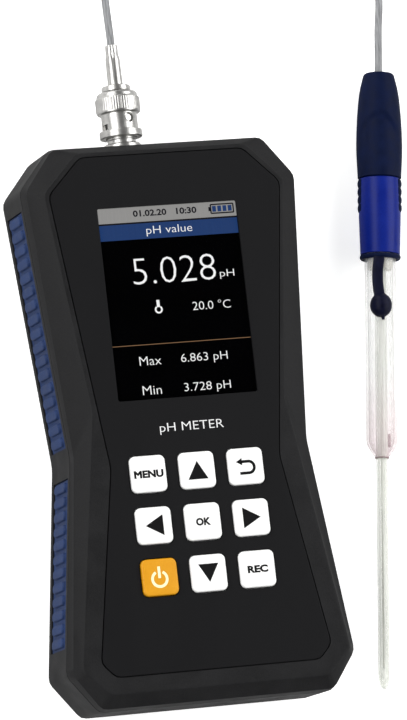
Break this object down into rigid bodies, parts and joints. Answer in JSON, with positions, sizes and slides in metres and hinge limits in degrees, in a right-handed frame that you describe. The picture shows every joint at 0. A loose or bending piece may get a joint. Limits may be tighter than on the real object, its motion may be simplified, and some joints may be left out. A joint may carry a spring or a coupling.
{
  "type": "ph meter",
  "caption": "Handheld pH meter with a waisted black housing, colour display, square keys and ribbed side grips, with a glass pH electrode on a short cable and bayonet plug.",
  "frame": {"origin": "centre of the meter's flat rear face, which rests on the table", "axes": "+X across the meter to the right seen from the front, +Y along the meter towards the top sockets, +Z out of the front"},
  "size_m": [0.1274, 0.2633, 0.0329],
  "materials": {
    "housing": "fine spark-eroded black ABS",
    "overlay": "satin printed film",
    "window": "clear polished",
    "screen": "lit colour display",
    "grip": "matt blue elastomer",
    "key_white": "satin",
    "key_orange": "satin",
    "silicone": "matt",
    "board": "solder mask",
    "battery": "shrink sleeve",
    "nickel": "bright nickel plate",
    "steel": "zinc plated",
    "gold": "gold flashed",
    "ptfe": "waxy white",
    "socket_black": "satin",
    "plate": "blank satin label",
    "cable": "smooth grey jacket",
    "cap_rubber": "matt navy elastomer",
    "sleeve": "satin blue",
    "electrode_glass": "fire polished",
    "silver": "dull silver",
    "ceramic": "unglazed dark"
  },
  "bodies": {
    "meter": {"rear_shell": "housing", "front_shell": "housing", "right_grip_upper": "grip", "right_grip_lower": "grip", "left_grip_upper": "grip", "left_grip_lower": "grip", "case_screw_1": "steel", "case_screw_2": "steel", "case_screw_3": "steel", "case_screw_4": "steel", "rating_plate": "plate", "front_overlay": "overlay", "display_window": "window", "lcd_module": "screen", "keypad_mat": "silicone", "main_board": "board", "battery_pack": "battery", "usb_socket": "steel", "temperature_socket": "socket_black", "bnc_jack": "nickel", "bnc_jack_nut": "nickel", "bnc_jack_insulator": "ptfe", "bnc_jack_contact": "gold"},
    "menu_key": {"key_menu": "key_white"},
    "up_key": {"key_up": "key_white"},
    "back_key": {"key_back": "key_white"},
    "left_key": {"key_left": "key_white"},
    "ok_key": {"key_ok": "key_white"},
    "right_key": {"key_right": "key_white"},
    "power_key": {"key_power": "key_orange"},
    "down_key": {"key_down": "key_white"},
    "record_key": {"key_record": "key_white"},
    "plug": {"plug_body": "nickel", "plug_insulator": "ptfe", "plug_pin": "gold", "crimp_ferrule": "nickel", "cable": "cable"},
    "ring": {"bayonet_ring": "nickel"},
    "electrode": {"electrode_cap": "cap_rubber", "electrode_sleeve": "sleeve", "sleeve_grip_right": "cap_rubber", "sleeve_grip_left": "cap_rubber", "collar_ring": "cap_rubber", "glass_body": "electrode_glass", "inner_stem": "electrode_glass", "ph_bulb": "electrode_glass", "silver_wire": "silver", "seal_ring": "ceramic", "top_seal": "silicone", "junction_pin": "ceramic"},
    "stopper": {"filler_stopper": "cap_rubber"}
  },
  "joints": [
    {"name": "menu_press", "type": "slide", "parent": "meter", "child": "menu_key", "axis": [0, 0, -1], "range_m": [0, 0.0005], "stiffness_N_per_m": 800},
    {"name": "up_press", "type": "slide", "parent": "meter", "child": "up_key", "axis": [0, 0, -1], "range_m": [0, 0.0005], "stiffness_N_per_m": 800},
    {"name": "back_press", "type": "slide", "parent": "meter", "child": "back_key", "axis": [0, 0, -1], "range_m": [0, 0.0005], "stiffness_N_per_m": 800},
    {"name": "left_press", "type": "slide", "parent": "meter", "child": "left_key", "axis": [0, 0, -1], "range_m": [0, 0.0005], "stiffness_N_per_m": 800},
    {"name": "ok_press", "type": "slide", "parent": "meter", "child": "ok_key", "axis": [0, 0, -1], "range_m": [0, 0.0005], "stiffness_N_per_m": 800},
    {"name": "right_press", "type": "slide", "parent": "meter", "child": "right_key", "axis": [0, 0, -1], "range_m": [0, 0.0005], "stiffness_N_per_m": 800},
    {"name": "power_press", "type": "slide", "parent": "meter", "child": "power_key", "axis": [0, 0, -1], "range_m": [0, 0.0005], "stiffness_N_per_m": 800},
    {"name": "down_press", "type": "slide", "parent": "meter", "child": "down_key", "axis": [0, 0, -1], "range_m": [0, 0.0005], "stiffness_N_per_m": 800},
    {"name": "record_press", "type": "slide", "parent": "meter", "child": "record_key", "axis": [0, 0, -1], "range_m": [0, 0.0005], "stiffness_N_per_m": 800},
    {"name": "plug_release", "type": "slide", "parent": "meter", "child": "plug", "axis": [0, 1, 0], "range_m": [0, 0.0026]},
    {"name": "ring_turn", "type": "hinge", "parent": "plug", "child": "ring", "pos_m": [-0.0067, 0.0932, 0.016], "axis": [0, 1, 0], "range_deg": [0, 90]},
    {"name": "electrode_swing", "type": "hinge", "parent": "plug", "child": "electrode", "pos_m": [0.038, 0.15, 0.0015], "axis": [0, 0, 1], "range_deg": [-2, 20], "deforming": ["cable"]},
    {"name": "stopper_lift", "type": "hinge", "parent": "electrode", "child": "stopper", "pos_m": [0.07056, 0.04545, 0.01226], "axis": [-0.9503, 0.1074, -0.2924], "range_deg": [0, 50], "stiffness_Nm_per_rad": 0.0005}
  ],
  "couplings": [
    {"joint": "ring_turn", "follows": "plug_release", "rad_per_m": 604.15}
  ]
}
